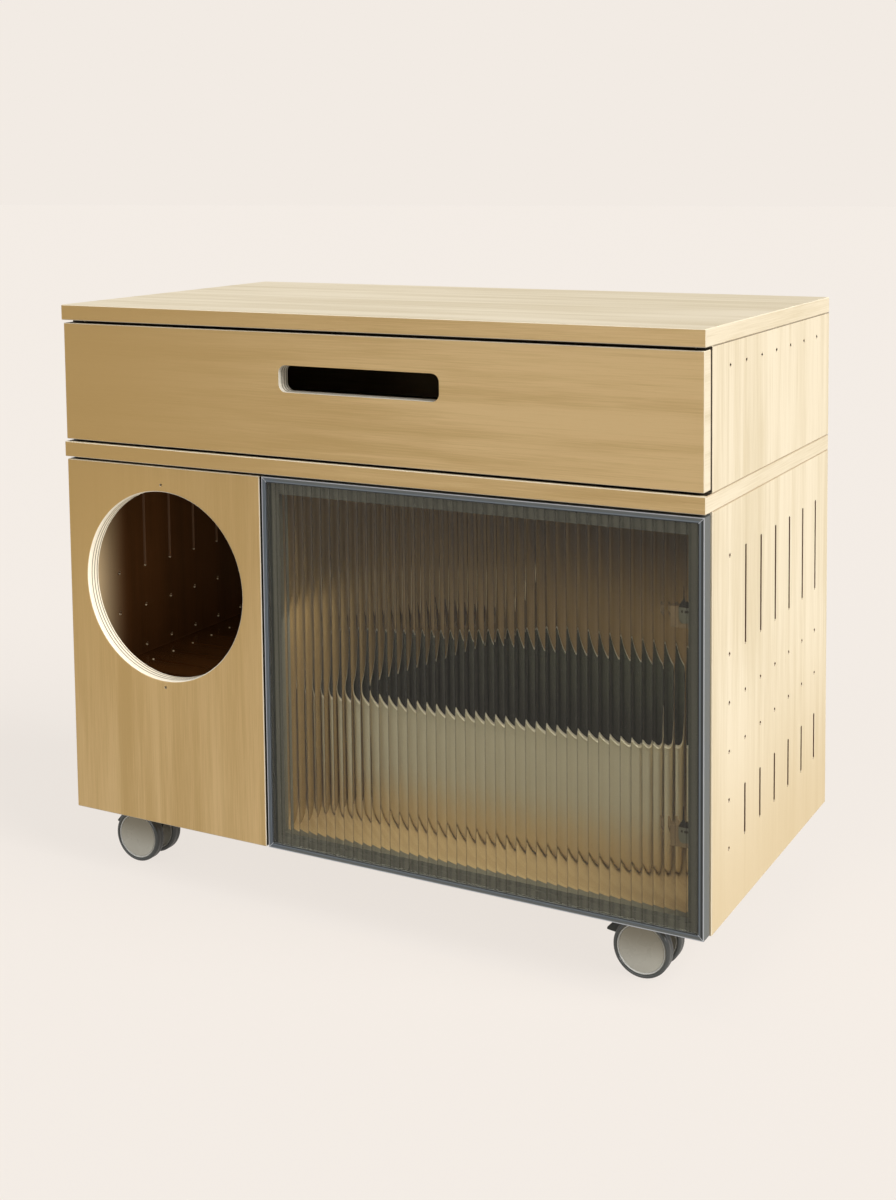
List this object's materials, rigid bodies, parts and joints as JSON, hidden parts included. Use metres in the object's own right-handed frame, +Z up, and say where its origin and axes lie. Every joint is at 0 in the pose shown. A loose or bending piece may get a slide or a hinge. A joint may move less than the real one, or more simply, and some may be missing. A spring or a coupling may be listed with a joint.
{
  "type": "litter box cabinet",
  "caption": "Rolling plywood cabinet round a litter tray: drawer over a round entry hole with a raised deck and a reeded-glass door on concealed hinges.",
  "frame": {"origin": "on the floor under the middle of the cabinet", "axes": "+X to the right seen from the front, +Y to the back, +Z up; the front faces -Y"},
  "size_m": [0.8, 0.4216, 0.6807],
  "materials": {
    "ply_front": "satin lacquered plywood, tan",
    "ply_light": "satin lacquered plywood, light",
    "ply_inside": "satin plywood",
    "zinc_steel": "zinc plated",
    "grey_aluminium": "satin anodised grey",
    "smoked_glass": "reeded, smoked",
    "gasket_rubber": "matte",
    "hinge_grey": "satin",
    "stainless": "fine brushed",
    "caster_plastic": "matte",
    "tread_rubber": "satin",
    "disc_plastic": "satin"
  },
  "bodies": {
    "cabinet": {"top_panel": "ply_light", "mid_panel": "ply_front", "bottom_panel": "ply_inside", "side_upper_left": "ply_light", "side_upper_right": "ply_light", "side_lower_left": "ply_light", "side_lower_right": "ply_light", "back_upper": "ply_inside", "back_lower": "ply_inside", "divider_panel": "ply_inside", "entry_panel": "ply_front", "entry_deck": "ply_inside", "deck_cleats": "ply_inside", "runner_cabinet": "zinc_steel", "hinge_arms": "zinc_steel", "caster_plates": "zinc_steel", "caster_screws": "zinc_steel"},
    "drawer": {"drawer_front": "ply_front", "drawer_side_left": "ply_inside", "drawer_side_right": "ply_inside", "drawer_back": "ply_inside", "drawer_bottom": "ply_inside", "runner_drawer": "zinc_steel"},
    "runner_slides": {"runner_middle": "zinc_steel"},
    "door": {"door_frame_top": "grey_aluminium", "door_frame_bottom": "grey_aluminium", "door_frame_left": "grey_aluminium", "door_frame_right": "grey_aluminium", "door_glass": "smoked_glass", "door_gasket": "gasket_rubber", "hinge_cups": "hinge_grey"},
    "cranks": {"hinge_cranks": "zinc_steel"},
    "links": {"hinge_links": "zinc_steel"},
    "tray": {"litter_tray": "stainless"},
    "caster_front_left": {"fork_front_left": "caster_plastic", "axle_front_left": "zinc_steel"},
    "wheel_front_left_outer": {"tyre_front_left_outer": "tread_rubber", "disc_front_left_outer": "disc_plastic"},
    "wheel_front_left_inner": {"tyre_front_left_inner": "tread_rubber", "disc_front_left_inner": "disc_plastic"},
    "pedal_front_left": {"brake_front_left": "caster_plastic"},
    "caster_front_right": {"fork_front_right": "caster_plastic", "axle_front_right": "zinc_steel"},
    "wheel_front_right_outer": {"tyre_front_right_outer": "tread_rubber", "disc_front_right_outer": "disc_plastic"},
    "wheel_front_right_inner": {"tyre_front_right_inner": "tread_rubber", "disc_front_right_inner": "disc_plastic"},
    "pedal_front_right": {"brake_front_right": "caster_plastic"},
    "caster_rear_left": {"fork_rear_left": "caster_plastic", "axle_rear_left": "zinc_steel"},
    "wheel_rear_left_outer": {"tyre_rear_left_outer": "tread_rubber", "disc_rear_left_outer": "disc_plastic"},
    "wheel_rear_left_inner": {"tyre_rear_left_inner": "tread_rubber", "disc_rear_left_inner": "disc_plastic"},
    "caster_rear_right": {"fork_rear_right": "caster_plastic", "axle_rear_right": "zinc_steel"},
    "wheel_rear_right_outer": {"tyre_rear_right_outer": "tread_rubber", "disc_rear_right_outer": "disc_plastic"},
    "wheel_rear_right_inner": {"tyre_rear_right_inner": "tread_rubber", "disc_rear_right_inner": "disc_plastic"}
  },
  "joints": [
    {"name": "drawer_slide", "type": "slide", "parent": "cabinet", "child": "drawer", "axis": [0, -1, 0], "range_m": [0, 0.3]},
    {"name": "middle_slide", "type": "slide", "parent": "cabinet", "child": "runner_slides", "axis": [0, -1, 0], "range_m": [0, 0.15]},
    {"name": "door_hinge", "type": "hinge", "parent": "cabinet", "child": "door", "pos_m": [0.396, -0.207, 0.284], "axis": [0, 0, 1], "range_deg": [0, 95]},
    {"name": "crank_turn", "type": "hinge", "parent": "cabinet", "child": "cranks", "pos_m": [0.374, -0.185, 0.284], "axis": [0, 0, 1], "range_deg": [0, 95]},
    {"name": "link_turn", "type": "hinge", "parent": "door", "child": "links", "pos_m": [0.367, -0.1945, 0.284], "axis": [0, 0, 1], "range_deg": [-95, 0]},
    {"name": "tray_slide", "type": "slide", "parent": "cabinet", "child": "tray", "axis": [0, -1, 0], "range_m": [0, 0.05]},
    {"name": "swivel_front_left", "type": "hinge", "parent": "cabinet", "child": "caster_front_left", "pos_m": [-0.328, -0.1485, 0.066], "axis": [0, 0, 1], "continuous": true},
    {"name": "roll_front_left_outer", "type": "hinge", "parent": "caster_front_left", "child": "wheel_front_left_outer", "pos_m": [-0.3395, -0.164, 0.0315], "axis": [0, 1, 0], "continuous": true},
    {"name": "roll_front_left_inner", "type": "hinge", "parent": "caster_front_left", "child": "wheel_front_left_inner", "pos_m": [-0.3395, -0.133, 0.0315], "axis": [0, 1, 0], "continuous": true},
    {"name": "brake_front_left_press", "type": "hinge", "parent": "caster_front_left", "child": "pedal_front_left", "pos_m": [-0.343, -0.1485, 0.051], "axis": [0, -1, 0], "range_deg": [0, 15]},
    {"name": "swivel_front_right", "type": "hinge", "parent": "cabinet", "child": "caster_front_right", "pos_m": [0.328, -0.1485, 0.066], "axis": [0, 0, 1], "continuous": true},
    {"name": "roll_front_right_outer", "type": "hinge", "parent": "caster_front_right", "child": "wheel_front_right_outer", "pos_m": [0.3165, -0.164, 0.0315], "axis": [0, 1, 0], "continuous": true},
    {"name": "roll_front_right_inner", "type": "hinge", "parent": "caster_front_right", "child": "wheel_front_right_inner", "pos_m": [0.3165, -0.133, 0.0315], "axis": [0, 1, 0], "continuous": true},
    {"name": "brake_front_right_press", "type": "hinge", "parent": "caster_front_right", "child": "pedal_front_right", "pos_m": [0.313, -0.1485, 0.051], "axis": [0, -1, 0], "range_deg": [0, 15]},
    {"name": "swivel_rear_left", "type": "hinge", "parent": "cabinet", "child": "caster_rear_left", "pos_m": [-0.328, 0.1485, 0.066], "axis": [0, 0, 1], "continuous": true},
    {"name": "roll_rear_left_outer", "type": "hinge", "parent": "caster_rear_left", "child": "wheel_rear_left_outer", "pos_m": [-0.3395, 0.133, 0.0315], "axis": [0, 1, 0], "continuous": true},
    {"name": "roll_rear_left_inner", "type": "hinge", "parent": "caster_rear_left", "child": "wheel_rear_left_inner", "pos_m": [-0.3395, 0.164, 0.0315], "axis": [0, 1, 0], "continuous": true},
    {"name": "swivel_rear_right", "type": "hinge", "parent": "cabinet", "child": "caster_rear_right", "pos_m": [0.328, 0.1485, 0.066], "axis": [0, 0, 1], "continuous": true},
    {"name": "roll_rear_right_outer", "type": "hinge", "parent": "caster_rear_right", "child": "wheel_rear_right_outer", "pos_m": [0.3165, 0.133, 0.0315], "axis": [0, 1, 0], "continuous": true},
    {"name": "roll_rear_right_inner", "type": "hinge", "parent": "caster_rear_right", "child": "wheel_rear_right_inner", "pos_m": [0.3165, 0.164, 0.0315], "axis": [0, 1, 0], "continuous": true}
  ],
  "couplings": [
    {"joint": "middle_slide", "follows": "drawer_slide", "ratio": 0.5},
    {"joint": "crank_turn", "follows": "door_hinge", "ratio": 1},
    {"joint": "link_turn", "follows": "door_hinge", "ratio": -1}
  ]
}
